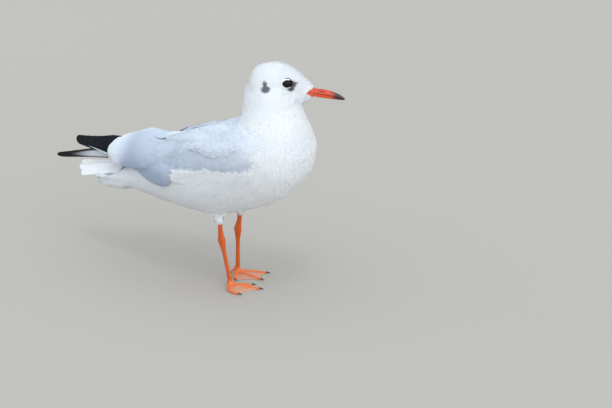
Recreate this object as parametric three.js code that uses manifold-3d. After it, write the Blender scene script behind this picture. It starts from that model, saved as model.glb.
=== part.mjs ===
// A standing black-headed gull in winter plumage, life size.
// Units are millimetres. +X is forward, +Y is the bird's left, +Z is up, and the soles lie at z = 0.
// Places are measured from the floor midway between the feet; at the end the whole bird is moved
// forward, so that the origin lies on the floor under the middle of its outline.
// The body is lofted from named stations, then parted into head, neck and trunk by thin flat cuts.
import * as THREE from 'three';
import { mergeVertices } from 'three/addons/utils/BufferGeometryUtils.js';
import Module from 'manifold-3d';

const wasm = await Module();
wasm.setup();

// ---- driving dimensions ----
const GAP = 0.3; // clearance between touching pieces
const RIGHT = -1; // side signs, as multiples of +Y
const LEFT = 1;
const STANCE_X = 58.5; // how far ahead of the origin the feet stand

// Trunk and neck stations from the under-tail coverts to the inside of the head.
// Each ring has its centre (x, y, z), the upward tilt of its axis, and its half sizes.
const TRUNK_STATIONS = [
  { x: -178, y: 0, z: 81, tilt: 0, up: 2, down: 2, wide: 9 },
  { x: -160, y: 0, z: 84, tilt: 0, up: 5, down: 7, wide: 14 },
  { x: -135, y: 0, z: 91, tilt: 0, up: 12, down: 14, wide: 22 },
  { x: -110, y: 0, z: 101, tilt: 5, up: 23, down: 25, wide: 28 },
  { x: -82, y: 0, z: 108, tilt: 8, up: 30, down: 36, wide: 37 },
  { x: -50, y: 0, z: 115, tilt: 8, up: 40.5, down: 44, wide: 44.5 },
  { x: -20, y: 0, z: 121, tilt: 6, up: 48, down: 50, wide: 48 },
  { x: 7, y: 0, z: 130, tilt: 10, up: 49.5, down: 50, wide: 50.5 },
  { x: 31, y: 0, z: 140.5, tilt: 27, up: 48, down: 49.5, wide: 52 },
  { x: 48.5, y: 0, z: 155, tilt: 49, up: 46, down: 48.5, wide: 52 },
  { x: 53.5, y: 0.5, z: 171.5, tilt: 68, up: 39, down: 44.5, wide: 47.5 },
  { x: 49.5, y: 2, z: 187.5, tilt: 84, up: 31, down: 35.5, wide: 38.5 },
  { x: 46, y: 5, z: 201.5, tilt: 89, up: 31, down: 30, wide: 30.5 },
  { x: 44.5, y: 8, z: 214, tilt: 89, up: 31.5, down: 27, wide: 26.5 },
  { x: 44, y: 9, z: 229, tilt: 89, up: 27.5, down: 18, wide: 18 },
];

// Head: its centre, how far it is turned to the left, and its stations along the direction of sight.
const HEAD_CENTRE = new THREE.Vector3(45.5, 12.5, 221);
const HEAD_TURN = 35;
const HEAD_STATIONS = [
  { u: -30.5, h: -6.5, half: 5, wide: 5 },
  { u: -26, h: -4.8, half: 17, wide: 14 },
  { u: -21, h: -2.6, half: 21.8, wide: 17.5 },
  { u: -12.6, h: -0.4, half: 23.6, wide: 20 },
  { u: -2, h: 0.6, half: 24.6, wide: 20.5 },
  { u: 8.4, h: -0.4, half: 24.2, wide: 19 },
  { u: 16.5, h: -2.2, half: 22.2, wide: 16.5 },
  { u: 24.5, h: -4.4, half: 18.4, wide: 12.5 },
  { u: 31.5, h: -6, half: 13.2, wide: 8.5 },
  { u: 38, h: -7.6, half: 8, wide: 5.5 },
  { u: 44, h: -8.8, half: 3, wide: 2.6 },
];
const HEAD_CUT = { u: -4, h: -22.5, slope: 9.5 }; // plane between head and neck
const NECK_CUT = { x: 8, z: 186, slope: -13.7 }; // plane between neck and trunk

const EYE = { u: 10.9, side: 13.1, h: 5.9, radius: 6.5 };

// Bill: the meeting line of the mandibles, the culmen above it and the under edge below it.
const BILL_STATIONS = [
  { u: 27, line: -6.8, top: -4.9, under: -11, wide: 3.2 },
  { u: 36, line: -8, top: -4, under: -12.4, wide: 3.9 },
  { u: 43, line: -9, top: -4, under: -13.6, wide: 3.6 },
  { u: 51.5, line: -10.6, top: -5.2, under: -15, wide: 3 },
  { u: 58, line: -12, top: -7.1, under: -15.8, wide: 2.5 },
  { u: 64, line: -13.6, top: -9.9, under: -16.4, wide: 2 },
  { u: 68.5, line: -15.2, top: -12.8, under: -16.8, wide: 1.4 },
  { u: 71.5, line: -16.6, top: -15.6, under: -17.3, wide: 0.8 },
];
const LOWER_BILL_LENGTH = 0.93; // of the upper mandible, which hooks over its tip

// Folded wing: arcs round the flank. low and high are angles up from the horizontal.
const WING_STATIONS = [
  { x: -116, z: 108, a: 29, b: 30, low: 12, high: 46 },
  { x: -100, z: 108, a: 34, b: 35, low: 3, high: 64 },
  { x: -82, z: 109, a: 40, b: 38, low: -6, high: 80 },
  { x: -60, z: 113, a: 45, b: 45, low: -12, high: 84 },
  { x: -42, z: 116, a: 48.5, b: 49, low: -1, high: 82 },
  { x: -20, z: 121, a: 51.5, b: 52.5, low: 6, high: 79 },
  { x: 8, z: 130, a: 54, b: 54, low: 6, high: 68 },
  { x: 35, z: 143, a: 55.5, b: 55, low: 2, high: 48 },
  { x: 52, z: 151, a: 54, b: 50, low: 2, high: 40 },
  { x: 62, z: 157, a: 51, b: 44, low: 4, high: 26 },
];
const WING_DEPTH = 5; // half thickness of the folded wing

// Tertials: the long rounded feathers that lie over the folded wing tip. The right wing lies on top.
const TERTIAL_STATIONS = [
  { x: -154, z: 112, a: 19, b: 14, low: 8, high: 60 },
  { x: -146, z: 110, a: 23, b: 22, low: 2, high: 78 },
  { x: -128, z: 109, a: 29, b: 30, low: 2, high: 86 },
  { x: -106, z: 109, a: 36.5, b: 38.5, low: 8, high: 87 },
  { x: -84, z: 110, a: 42, b: 34.5, low: 16, high: 84 },
  { x: -62, z: 114, a: 46.5, b: 41, low: 30, high: 72 },
];
const TERTIAL_DEPTH = 2.6;
const LEFT_TERTIAL_DROP = 2.8; // the left tertials lie this much lower, beneath the right ones

// Folded wing tips: narrow upright blades that cross over the tail, the right one on top.
const PRIMARY_STATIONS = {
  right: [
    { x: -221, y: 17, z: 108, half: 1.6, thick: 0.6 },
    { x: -210, y: 14.5, z: 109.3, half: 4.4, thick: 0.9 },
    { x: -193, y: 9.5, z: 112.3, half: 6.2, thick: 1.2 },
    { x: -174, y: 3.5, z: 116.5, half: 6.6, thick: 1.5 },
    { x: -155, y: -2, z: 122.5, half: 6.6, thick: 1.8 },
    { x: -135, y: -8, z: 126, half: 7.6, thick: 2.2 },
    { x: -108, y: -14, z: 127, half: 8, thick: 2.4 },
  ],
  left: [
    { x: -219, y: -17, z: 101.2, half: 1.2, thick: 0.6 },
    { x: -208, y: -15.5, z: 102.8, half: 2.8, thick: 0.9 },
    { x: -192, y: -13, z: 106, half: 3.6, thick: 1.2 },
    { x: -175, y: -9.5, z: 109, half: 4.3, thick: 1.4 },
    { x: -155, y: -2, z: 109.8, half: 4.8, thick: 1.8 },
    { x: -135, y: 6, z: 113, half: 6.4, thick: 2.2 },
    { x: -108, y: 14, z: 120, half: 8, thick: 2.4 },
  ],
};

// Tail: a closed fan of twelve feathers, arched across, with the middle feathers the longest.
const TAIL = { root: -122, length: 77, rootWide: 15, tipWide: 18.5, rootZ: 104, tipZ: 91.5 };
const TAIL_ROUND = 13; // how much shorter the outermost feathers are
const TAIL_ARCH = 7; // how far the edges lie below the middle
const TAIL_THICK = { root: 4, tip: 2 };

// Legs: places along each leg from the feathered thigh down to the foot.
const LEGS = {
  right: {
    side: RIGHT,
    knee: new THREE.Vector3(-6, -19, 92),
    feather: new THREE.Vector3(-4.6, -18.4, 65.5),
    ankle: new THREE.Vector3(-3.2, -17.9, 50),
    foot: new THREE.Vector3(8, -17.9, 5),
    toes: { outer: { yaw: -35, bow: -6 }, middle: { yaw: 16, bow: 0 }, inner: { yaw: 38, bow: 0 } },
    hindYaw: 142,
  },
  left: {
    side: LEFT,
    knee: new THREE.Vector3(-3, 18, 92),
    feather: new THREE.Vector3(-4.6, 17.4, 66),
    ankle: new THREE.Vector3(-7.8, 17.9, 50.5),
    foot: new THREE.Vector3(-8.3, 17.9, 5),
    toes: { outer: { yaw: 30, bow: 1.5 }, middle: { yaw: -6, bow: 0 }, inner: { yaw: -60, bow: -2 } },
    hindYaw: 206,
  },
};
const TOE_LENGTH = { outer: 31, middle: 33, inner: 23.5 };
const TOE_JOINTS = { outer: 4, middle: 3, inner: 2 };
const TOE_HALF = 1.75; // half thickness of a toe at its joints
const WEB_THICK = 1;
const CLAW_LENGTH = 6;
const CLAW_DROP = 0.9; // how far a claw's point lies below its root
const HIND_TOE = { up: 0.09, length: 7, tipZ: 0.75, claw: 3.2 }; // up is a share of the tarsus

const MATERIALS = {
  plumage: new THREE.MeshStandardMaterial({ color: 0xeef1f5, roughness: 0.85, metalness: 0 }),
  mantle: new THREE.MeshStandardMaterial({ color: 0xb9c3d4, roughness: 0.8, metalness: 0 }),
  tips: new THREE.MeshStandardMaterial({ color: 0x1d2230, roughness: 0.55, metalness: 0 }),
  legs: new THREE.MeshStandardMaterial({ color: 0xd2521f, roughness: 0.5, metalness: 0 }),
  bill: new THREE.MeshStandardMaterial({ color: 0xd0431a, roughness: 0.35, metalness: 0 }),
  claws: new THREE.MeshStandardMaterial({ color: 0x17130f, roughness: 0.4, metalness: 0 }),
  eye: new THREE.MeshStandardMaterial({ color: 0x0b0a0c, roughness: 0.05, metalness: 0 }),
};

const rad = THREE.MathUtils.degToRad;

// ---- lofting ----

/** Every number of the stations at t (0 to 1), joined smoothly through all stations. */
function stationAt(stations, keys, t) {
  const last = stations.length - 1;
  const place = Math.min(t * last, last - 1e-9);
  const i = Math.floor(place);
  const f = place - i;
  const at = (n) => stations[THREE.MathUtils.clamp(n, 0, last)];
  const slope = (n, name) => (at(n + 1)[name] - at(n - 1)[name]) / (n === 0 || n === last ? 1 : 2);
  const value = {};
  for (const name of keys) {
    const a = at(i)[name];
    const b = at(i + 1)[name];
    const ma = slope(i, name);
    const mb = slope(i + 1, name);
    const f2 = f * f;
    const f3 = f2 * f;
    value[name] = a * (2 * f3 - 3 * f2 + 1) + b * (3 * f2 - 2 * f3) + ma * (f3 - 2 * f2 + f) + mb * (f3 - f2);
  }
  return value;
}

/** How full a section is at t: it rounds down to nothing over the last `start` and `end` of the length. */
function fullness(t, start, end) {
  const round = (q) => Math.sqrt(Math.max(0, 1 - (1 - Math.min(q, 1)) ** 2));
  return round(start > 0 ? t / start : 1) * round(end > 0 ? (1 - t) / end : 1);
}

/**
 * A closed loft: a sphere's grid, with each of its rings placed by `ring(t, c, s)`, where c and s
 * are the cosine and sine round the ring. At the two poles, which close the ends, both are 0.
 */
function loft(around, rings, ring) {
  const geometry = new THREE.SphereGeometry(1, around, rings);
  const { position, uv } = geometry.attributes;
  const point = new THREE.Vector3();
  for (let i = 0; i < position.count; i += 1) {
    const sweep = 1 - uv.getY(i);
    const t = (1 - Math.cos(Math.PI * sweep)) / 2;
    const turn = 2 * Math.PI * (uv.getX(i) % 1);
    const radius = sweep > 0 && sweep < 1 ? 1 : 0;
    point.copy(ring(t, -Math.cos(turn) * radius, Math.sin(turn) * radius));
    position.setXYZ(i, point.x, point.y, point.z);
  }
  return geometry;
}

/** A geometry as a manifold solid, on its positions only. */
function solid(geometry) {
  const bare = geometry.clone();
  bare.deleteAttribute('normal');
  bare.deleteAttribute('uv');
  const merged = mergeVertices(bare, 1e-4);
  return new wasm.Manifold(new wasm.Mesh({
    numProp: 3,
    vertProperties: Float32Array.from(merged.attributes.position.array),
    triVerts: Uint32Array.from(merged.index.array),
  }));
}

/** The largest piece of a solid, as a plain three.js geometry. */
function geometryOf(body) {
  const pieces = body.decompose();
  const whole = pieces.reduce((best, one) => (one.volume() > best.volume() ? one : best));
  const mesh = whole.getMesh();
  const geometry = new THREE.BufferGeometry();
  geometry.setAttribute('position', new THREE.BufferAttribute(Float32Array.from(mesh.vertProperties), 3));
  geometry.setIndex(new THREE.BufferAttribute(Uint32Array.from(mesh.triVerts), 1));
  geometry.computeVertexNormals();
  return geometry;
}

/** A mirror copy of a geometry in the plane y = 0, still facing outward. */
function mirrored(geometry) {
  const copy = geometry.clone();
  copy.scale(1, -1, 1);
  const index = copy.index;
  for (let i = 0; i < index.count; i += 3) {
    const first = index.getX(i);
    index.setX(i, index.getX(i + 1));
    index.setX(i + 1, first);
  }
  return copy;
}

// ---- body ----

/** One loft from the under-tail to the inside of the head. */
function trunkAndNeck() {
  const keys = ['x', 'y', 'z', 'tilt', 'up', 'down', 'wide'];
  return loft(24, 28, (t, c, s) => {
    const ring = stationAt(TRUNK_STATIONS, keys, t);
    const full = fullness(t, 0.05, 0.06);
    const lift = s * (s > 0 ? ring.up : ring.down) * full;
    const tilt = rad(ring.tilt);
    return new THREE.Vector3(
      ring.x - lift * Math.sin(tilt),
      ring.y + c * ring.wide * full,
      ring.z + lift * Math.cos(tilt),
    );
  });
}

/** A place in the head's own directions: u forward, side to the left, h up. */
function headPoint(u, side, h) {
  const turn = rad(HEAD_TURN);
  return new THREE.Vector3(
    HEAD_CENTRE.x + u * Math.cos(turn) - side * Math.sin(turn),
    HEAD_CENTRE.y + u * Math.sin(turn) + side * Math.cos(turn),
    HEAD_CENTRE.z + h,
  );
}

function headShape() {
  return loft(18, 16, (t, c, s) => {
    const ring = stationAt(HEAD_STATIONS, ['u', 'h', 'half', 'wide'], t);
    const full = fullness(t, 0.12, 0.04);
    return headPoint(ring.u, c * ring.wide * full, ring.h + s * ring.half * full);
  });
}

/** One mandible, grown outward by `grow`. */
function mandible(upper, grow) {
  const length = upper ? 1 : LOWER_BILL_LENGTH;
  return loft(10, 11, (t, c, s) => {
    const ring = stationAt(BILL_STATIONS, ['u', 'line', 'top', 'under', 'wide'], t * length);
    const full = fullness(t, 0.02, 0.03);
    const seam = ring.line + (upper ? 1 : -1) * 1.2 * GAP;
    const deep = upper ? ring.top - seam : seam - ring.under;
    const flat = 0.7 * GAP;
    const rise = (s > 0) === upper ? deep : flat;
    return headPoint(
      ring.u + grow * (2 * t - 1),
      c * (ring.wide * full + grow),
      seam + s * (Math.max(rise, flat) * full + grow),
    );
  });
}

function eyeball(side, grow) {
  const geometry = new THREE.SphereGeometry(EYE.radius + grow, 12, 8);
  const centre = headPoint(EYE.u, side * EYE.side, EYE.h);
  return geometry.translate(centre.x, centre.y, centre.z);
}

// ---- wings ----

/** Squares off a sine or cosine, for a section with full edges. */
const blunt = (value) => Math.sign(value) * Math.sqrt(Math.abs(value));

/** A shell wrapped round the right flank between two angles, its outside on the arc (a, b). */
function flankShell(stations, depth, around, rings, grow) {
  return loft(around, rings, (t, c, s) => {
    const ring = stationAt(stations, ['x', 'z', 'a', 'b', 'low', 'high'], t);
    const full = fullness(t, 0.1, 0.16);
    const middle = rad(ring.low + ring.high) / 2;
    const half = rad(ring.high - ring.low) / 2;
    const reach = (ring.a + ring.b) / 2;
    const angle = middle + blunt(c) * (half * full + grow / reach);
    const out = -depth + blunt(s) * (depth * full + grow);
    return new THREE.Vector3(
      ring.x + grow * (2 * t - 1),
      -(ring.a + out) * Math.cos(angle),
      ring.z + (ring.b + out) * Math.sin(angle),
    );
  });
}

/** One folded wing tip. */
function primaries(stations, grow) {
  return loft(8, 10, (t, c, s) => {
    const ring = stationAt(stations, ['x', 'y', 'z', 'half', 'thick'], t);
    const full = fullness(t, 0.03, 0.06);
    return new THREE.Vector3(
      ring.x + grow * (2 * t - 1),
      ring.y + c * (ring.thick * full + grow),
      ring.z + s * (ring.half * full + grow),
    );
  });
}

/** The closed tail fan: its ring runs from the left edge over the arched top to the right edge. */
function tailFan(grow) {
  return loft(12, 10, (t, c, s) => {
    const end = Math.min(Math.min(t, 1 - t) / 0.06, 1);
    const full = (1 - (1 - end) ** 4) ** (1 / 4);
    const wide = THREE.MathUtils.lerp(TAIL.tipWide, TAIL.rootWide, t);
    const side = Math.sign(c) * Math.abs(c) ** 0.8 * (wide * full + grow);
    const thick = THREE.MathUtils.lerp(TAIL_THICK.tip, TAIL_THICK.root, t) / 2 * full + grow;
    const across = side / wide;
    return new THREE.Vector3(
      TAIL.root - (TAIL.length - TAIL_ROUND * across * across) * (1 - t) + grow * (2 * t - 1),
      side,
      THREE.MathUtils.lerp(TAIL.tipZ, TAIL.rootZ, t) - TAIL_ARCH * across * across + s * thick,
    );
  });
}

// ---- legs ----

/** A round bar along a list of places, each with its own half sizes. */
function limb(places, around, rings, grow) {
  const keys = ['x', 'y', 'z', 'half', 'deep'];
  return loft(around, rings, (t, c, s) => {
    const ring = stationAt(places, keys, t);
    const ahead = stationAt(places, keys, Math.min(t + 0.02, 1));
    const behind = stationAt(places, keys, Math.max(t - 0.02, 0));
    const axis = new THREE.Vector3(ahead.x - behind.x, ahead.y - behind.y, ahead.z - behind.z).normalize();
    const across = new THREE.Vector3(0, 1, 0).addScaledVector(axis, -axis.y).normalize();
    const out = new THREE.Vector3().crossVectors(axis, across);
    const full = fullness(t, 0.05, 0.05);
    return new THREE.Vector3(ring.x, ring.y, ring.z)
      .addScaledVector(axis, grow * (2 * t - 1))
      .addScaledVector(across, c * (ring.half * full + grow))
      .addScaledVector(out, s * (ring.deep * full + grow));
  });
}

const place = (point, half, deep) => ({ x: point.x, y: point.y, z: point.z, half, deep });

/** The feathered thigh that stands out below the belly. */
function thighShape(leg, grow) {
  const middle = leg.knee.clone().lerp(leg.feather, 0.6);
  return limb([
    place(leg.feather.clone().add(new THREE.Vector3(0, 0, -1)), 2.8, 3.2),
    place(leg.feather.clone().lerp(middle, 0.3), 3.9, 4.6),
    place(middle, 6.2, 7.6),
    place(leg.knee, 8.5, 12),
  ], 10, 6, grow);
}

/** The bare leg: the end of the tibia, the ankle knob and the tarsus. */
function tarsusShape(leg, grow) {
  const shin = (f) => leg.ankle.clone().lerp(leg.foot, f);
  return limb([
    place(leg.foot.clone().add(new THREE.Vector3(0, 0, -1.6)), 2, 2.4),
    place(shin(0.88), 1.9, 2.5),
    place(shin(0.6), 1.65, 2.25),
    place(shin(0.3), 1.75, 2.35),
    place(shin(0.1), 2.7, 3.8),
    place(leg.ankle, 3.2, 4.7),
    place(leg.ankle.clone().lerp(leg.feather, 0.3), 2.3, 3.2),
    place(leg.ankle.clone().lerp(leg.feather, 0.75), 2, 2.6),
    place(leg.feather.clone().add(new THREE.Vector3(0, 0, 6)), 2, 2.5),
  ], 8, 14, grow);
}

/** A place along the middle of a toe, seen from above: t is 0 at the hub and 1 at the tip. */
function toePoint(leg, name, t) {
  const { yaw, bow } = leg.toes[name];
  const length = TOE_LENGTH[name];
  const chord = length * (1 - 2.9 * (bow / length) ** 2);
  return new THREE.Vector2(chord * t, 4 * bow * t * (1 - t))
    .rotateAround(new THREE.Vector2(), rad(yaw))
    .add(new THREE.Vector2(leg.foot.x, leg.foot.y));
}

/** Direction of a toe on the floor at a place along it. */
function toeAxis(leg, name, t) {
  const step = toePoint(leg, name, t + 0.05).sub(toePoint(leg, name, t - 0.05)).normalize();
  return new THREE.Vector3(step.x, step.y, 0);
}

/** One toe, thicker at its joints, from the foot's hub to the claw. */
function toeShape(leg, name) {
  const joints = TOE_JOINTS[name];
  return loft(6, 8, (t, c, s) => {
    const point = toePoint(leg, name, t);
    const axis = toeAxis(leg, name, t);
    const bump = 1 + 0.14 * Math.cos(2 * Math.PI * joints * t);
    const half = TOE_HALF * THREE.MathUtils.lerp(1.12, 0.72, t) * bump * fullness(t, 0.05, 0.06);
    const centre = THREE.MathUtils.lerp(2.4, 1.1, Math.sqrt(t));
    return new THREE.Vector3(point.x, point.y, centre + s * half * 1.05)
      .addScaledVector(new THREE.Vector3(-axis.y, axis.x, 0), c * half);
  });
}

/** The web between two toes, with a hollow front edge. */
function webShape(leg, first, second) {
  const hollow = toePoint(leg, first, 0.78).add(toePoint(leg, second, 0.78)).multiplyScalar(0.5);
  const end = toePoint(leg, second, 0.95);
  const outline = new THREE.Shape();
  outline.moveTo(leg.foot.x, leg.foot.y);
  for (const t of [0.35, 0.65, 0.95]) {
    const edge = toePoint(leg, first, t);
    outline.lineTo(edge.x, edge.y);
  }
  outline.quadraticCurveTo(hollow.x, hollow.y, end.x, end.y);
  for (const t of [0.65, 0.35, 0]) {
    const edge = toePoint(leg, second, t);
    outline.lineTo(edge.x, edge.y);
  }
  return new THREE.ExtrudeGeometry(outline, { depth: WEB_THICK, bevelEnabled: false, curveSegments: 3 });
}

/** Direction of the hind toe, seen from above. */
function hindAxis(leg) {
  return new THREE.Vector3(Math.cos(rad(leg.hindYaw)), Math.sin(rad(leg.hindYaw)), 0);
}

/** The tip of the hind toe, which reaches down to the floor behind the foot. */
function hindTip(leg) {
  return leg.foot.clone().lerp(leg.ankle, HIND_TOE.up)
    .addScaledVector(hindAxis(leg), HIND_TOE.length)
    .setZ(HIND_TOE.tipZ);
}

/** The small hind toe, which grows from the back of the tarsus. */
function hindToe(leg, grow) {
  const root = leg.foot.clone().lerp(leg.ankle, HIND_TOE.up);
  const tip = hindTip(leg);
  const middle = tip.clone().lerp(root, 0.5);
  return limb([place(tip, 0.9, 0.9), place(middle, 1.3, 1.3), place(root, 1.6, 1.6)], 6, 4, grow);
}

/** The whole foot in one piece, cut flat where it stands. */
function footShape(leg) {
  const toes = Object.keys(TOE_LENGTH).map((name) => solid(toeShape(leg, name)));
  const webs = [['outer', 'middle'], ['middle', 'inner']].map(([a, b]) => solid(webShape(leg, a, b)));
  const hub = new THREE.SphereGeometry(1, 8, 5).scale(3.6, 3.1, 4.6);
  hub.translate(leg.foot.x + 0.6, leg.foot.y, 2.9);
  return [...toes, ...webs]
    .reduce((sum, one) => sum.add(one), solid(hub))
    .trimByPlane([0, 0, 1], 0);
}

/** A short hooked claw at the end of a toe. */
function clawShape(leg, name, grow) {
  const hind = name === 'hind';
  const axis = hind ? hindAxis(leg) : toeAxis(leg, name, 0.95);
  const end = hind ? hindTip(leg) : toePoint(leg, name, 1);
  const root = new THREE.Vector3(end.x, end.y, hind ? end.z : 2).addScaledVector(axis, hind ? -0.8 : -1.6);
  const length = hind ? HIND_TOE.claw : CLAW_LENGTH;
  const thick = hind ? 0.6 : 1.05;
  const across = new THREE.Vector3(-axis.y, axis.x, 0);
  return loft(6, 4, (t, c, s) => {
    const half = thick * (1 - 0.8 * t) * fullness(t, 0.1, 0.06) + grow;
    return root.clone()
      .addScaledVector(axis, length * t + grow * (2 * t - 1))
      .addScaledVector(across, c * half)
      .add(new THREE.Vector3(0, 0, s * half - CLAW_DROP * t * t));
  });
}

// ---- assembly ----

const gull = new THREE.Group();
gull.position.set(STANCE_X, 0, 0);

function addPiece(name, body, material) {
  const mesh = new THREE.Mesh(geometryOf(body), MATERIALS[material]);
  mesh.name = name;
  gull.add(mesh);
}

/** What lies on the upper side of a cutting plane, less half the gap. */
function above(body, normal, offset) {
  return body.trimByPlane(normal.toArray(), offset + GAP / 2);
}

/** What lies on the lower side of a cutting plane, less half the gap. */
function below(body, normal, offset) {
  return body.trimByPlane(normal.clone().negate().toArray(), -offset + GAP / 2);
}

let body = solid(trunkAndNeck()).add(solid(headShape())).subtract(solid(tailFan(2 * GAP)));
addPiece('tail', solid(tailFan(0)), 'plumage');

for (const [name, side] of Object.entries({ right: RIGHT, left: LEFT })) {
  body = body.subtract(solid(eyeball(side, GAP)));
  addPiece(`eye_${name}`, solid(eyeball(side, 0)), 'eye');
}
for (const [name, upper] of Object.entries({ upper: true, lower: false })) {
  body = body.subtract(solid(mandible(upper, GAP)));
  addPiece(`bill_${name}`, solid(mandible(upper, 0)), 'bill');
}

for (const [name, leg] of Object.entries(LEGS)) {
  const turned = leg.side === RIGHT ? (geometry) => geometry : mirrored;
  const wing = (grow) => solid(turned(flankShell(WING_STATIONS, WING_DEPTH, 12, 16, grow)));
  const drop = leg.side === RIGHT ? 0 : LEFT_TERTIAL_DROP;
  const tertialFan = (grow) => turned(flankShell(TERTIAL_STATIONS, TERTIAL_DEPTH, 12, 10, grow));
  const tertials = (grow) => solid(tertialFan(grow).translate(0, 0, -drop));
  const wingTip = (grow) => solid(primaries(PRIMARY_STATIONS[name], grow));
  const thigh = (grow) => solid(thighShape(leg, grow));
  const tarsus = (grow) => solid(tarsusShape(leg, grow)).add(solid(hindToe(leg, grow)));
  addPiece(`tertials_${name}`, tertials(0), 'mantle');
  addPiece(`wing_${name}`, wing(0).subtract(tertials(GAP)), 'mantle');
  addPiece(`primaries_${name}`, wingTip(0).subtract(tertials(GAP)).subtract(wing(GAP)), 'tips');
  addPiece(`thigh_${name}`, thigh(0).subtract(tarsus(GAP)), 'plumage');
  const bareLeg = tarsus(0).subtract(solid(clawShape(leg, 'hind', GAP)));
  addPiece(`tarsus_${name}`, bareLeg.trimByPlane([0, 0, 1], 0), 'legs');
  for (const piece of [tertials, wing, wingTip, thigh]) {
    body = body.subtract(piece(GAP));
  }

  let foot = footShape(leg).subtract(tarsus(GAP));
  for (const toe of ['outer', 'middle', 'inner', 'hind']) {
    foot = foot.subtract(solid(clawShape(leg, toe, GAP)));
    const claw = solid(clawShape(leg, toe, 0));
    addPiece(`claw_${name}_${toe}`, claw.trimByPlane([0, 0, 1], 0), 'claws');
  }
  addPiece(`foot_${name}`, foot, 'legs');
}

const headSlope = rad(HEAD_CUT.slope);
const headNormal = headPoint(1, 0, 0).sub(HEAD_CENTRE).multiplyScalar(Math.sin(headSlope));
headNormal.setZ(Math.cos(headSlope));
const headOffset = headNormal.dot(headPoint(HEAD_CUT.u, 0, HEAD_CUT.h));
const neckSlope = rad(-NECK_CUT.slope);
const neckNormal = new THREE.Vector3(Math.sin(neckSlope), 0, Math.cos(neckSlope));
const neckOffset = neckNormal.dot(new THREE.Vector3(NECK_CUT.x, 0, NECK_CUT.z));
addPiece('head', above(body, headNormal, headOffset), 'plumage');
addPiece('neck', above(below(body, headNormal, headOffset), neckNormal, neckOffset), 'plumage');
addPiece('trunk', below(body, neckNormal, neckOffset), 'plumage');

export default gull;
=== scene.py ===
# %% [markdown]
# # A black-headed gull in winter plumage, as a still model
# The bird is built in layers, as a museum maker would do it. First comes one smooth skin, then the
# small body feathers that lie over it, then the large feathers of wings and tail one by one, and last
# the bare parts: bill, eyes, legs, feet and claws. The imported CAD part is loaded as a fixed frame, so
# every piece is placed in its space and in metres.

# %% Load the frame
import math

import bpy
import numpy as np
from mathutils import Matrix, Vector
from mathutils.bvhtree import BVHTree


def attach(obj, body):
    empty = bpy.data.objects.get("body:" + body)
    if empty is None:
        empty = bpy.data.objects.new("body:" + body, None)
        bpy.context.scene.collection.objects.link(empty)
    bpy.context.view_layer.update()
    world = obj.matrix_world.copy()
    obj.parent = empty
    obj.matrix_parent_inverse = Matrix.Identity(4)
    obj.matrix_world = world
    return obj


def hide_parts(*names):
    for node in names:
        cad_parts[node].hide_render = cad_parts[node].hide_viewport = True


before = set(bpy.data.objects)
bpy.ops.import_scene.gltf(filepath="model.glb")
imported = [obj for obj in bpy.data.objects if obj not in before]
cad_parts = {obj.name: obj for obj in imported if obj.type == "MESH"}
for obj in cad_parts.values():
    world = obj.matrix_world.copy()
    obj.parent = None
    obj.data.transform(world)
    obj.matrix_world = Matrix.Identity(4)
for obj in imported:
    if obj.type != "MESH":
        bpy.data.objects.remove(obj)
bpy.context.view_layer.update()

MM = 0.001

# %% [markdown]
# ## Places on the bird
# Most measurements are easier in millimetres from the point on the floor midway between the feet.
# The head is turned to the left, so it has its own three directions: forward along the bill, out to
# the right cheek, and up. Both are turned into frame metres by the small helpers here.

# %% Places
STANCE = np.array([58.5, 0.0, 0.0])
HEAD = np.array([45.5, 12.5, 221.0])
TURN = math.radians(35)
BILLWARD = np.array([math.cos(TURN), math.sin(TURN), 0.0])
CHEEKWARD = np.array([math.sin(TURN), -math.cos(TURN), 0.0])
UP = np.array([0.0, 0.0, 1.0])
SIDES = {"right": 1.0, "left": -1.0}  # right is the -Y flank
EYE_PLACE = (10.9, 13.1, 5.9)  # ahead of the head's middle, out to the cheek, and up
EYE_RADIUS, EYE_SHIFT = 6.5, -0.7  # the lids' opening lies this far ahead of the ball's middle
EYE_FORWARD, EYE_UPWARD = 0.31, 0.22  # how far each eye looks ahead and up


def place(x, y, z):
    """A point in the frame, in metres, from millimetres about the feet."""
    return Vector(((x + STANCE[0]) * MM, y * MM, z * MM))


def head_place(forward, cheek, up):
    """A point in the frame, in metres, from millimetres about the middle of the head."""
    return place(*(HEAD + forward * BILLWARD + cheek * CHEEKWARD + up * UP))


def about_feet(points):
    """Millimetres about the feet for an array of frame points in metres."""
    return np.asarray(points, float) / MM - STANCE


def about_head(points):
    """Forward, cheek and up millimetres about the head for millimetres about the feet."""
    offset = points - HEAD
    return np.stack([offset @ BILLWARD, offset @ CHEEKWARD, offset[:, 2]], 1)


def eye_frame(sign):
    """The eye's middle and its own directions: out, forward and up, about the feet."""
    middle = HEAD + EYE_PLACE[0] * BILLWARD + sign * EYE_PLACE[1] * CHEEKWARD + EYE_PLACE[2] * UP
    out = sign * CHEEKWARD + EYE_FORWARD * BILLWARD + EYE_UPWARD * UP
    out = out / np.linalg.norm(out)
    forward = BILLWARD - out * (out @ BILLWARD)
    forward = forward / np.linalg.norm(forward)
    return middle, out, forward, np.cross(out, forward) * -sign


def smooth(low, high, value):
    """0 below low, 1 above high, and an even S-curve between them."""
    share = np.clip((value - low) / (high - low), 0.0, 1.0)
    return share * share * (3 - 2 * share)


def line_height(knots, along):
    """Height of a line through (along, height) knots, read at the given places."""
    knots = np.array(sorted(knots), float)
    return np.interp(along, knots[:, 0], knots[:, 1])


print("head middle", tuple(round(v, 4) for v in head_place(0, 0, 0)))

# %% [markdown]
# ## Modelling helpers
# An edit-mode operator acts on all that is selected, and loading leaves the CAD nodes selected. Each
# step therefore starts by clearing the selection and choosing its own object.

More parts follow.
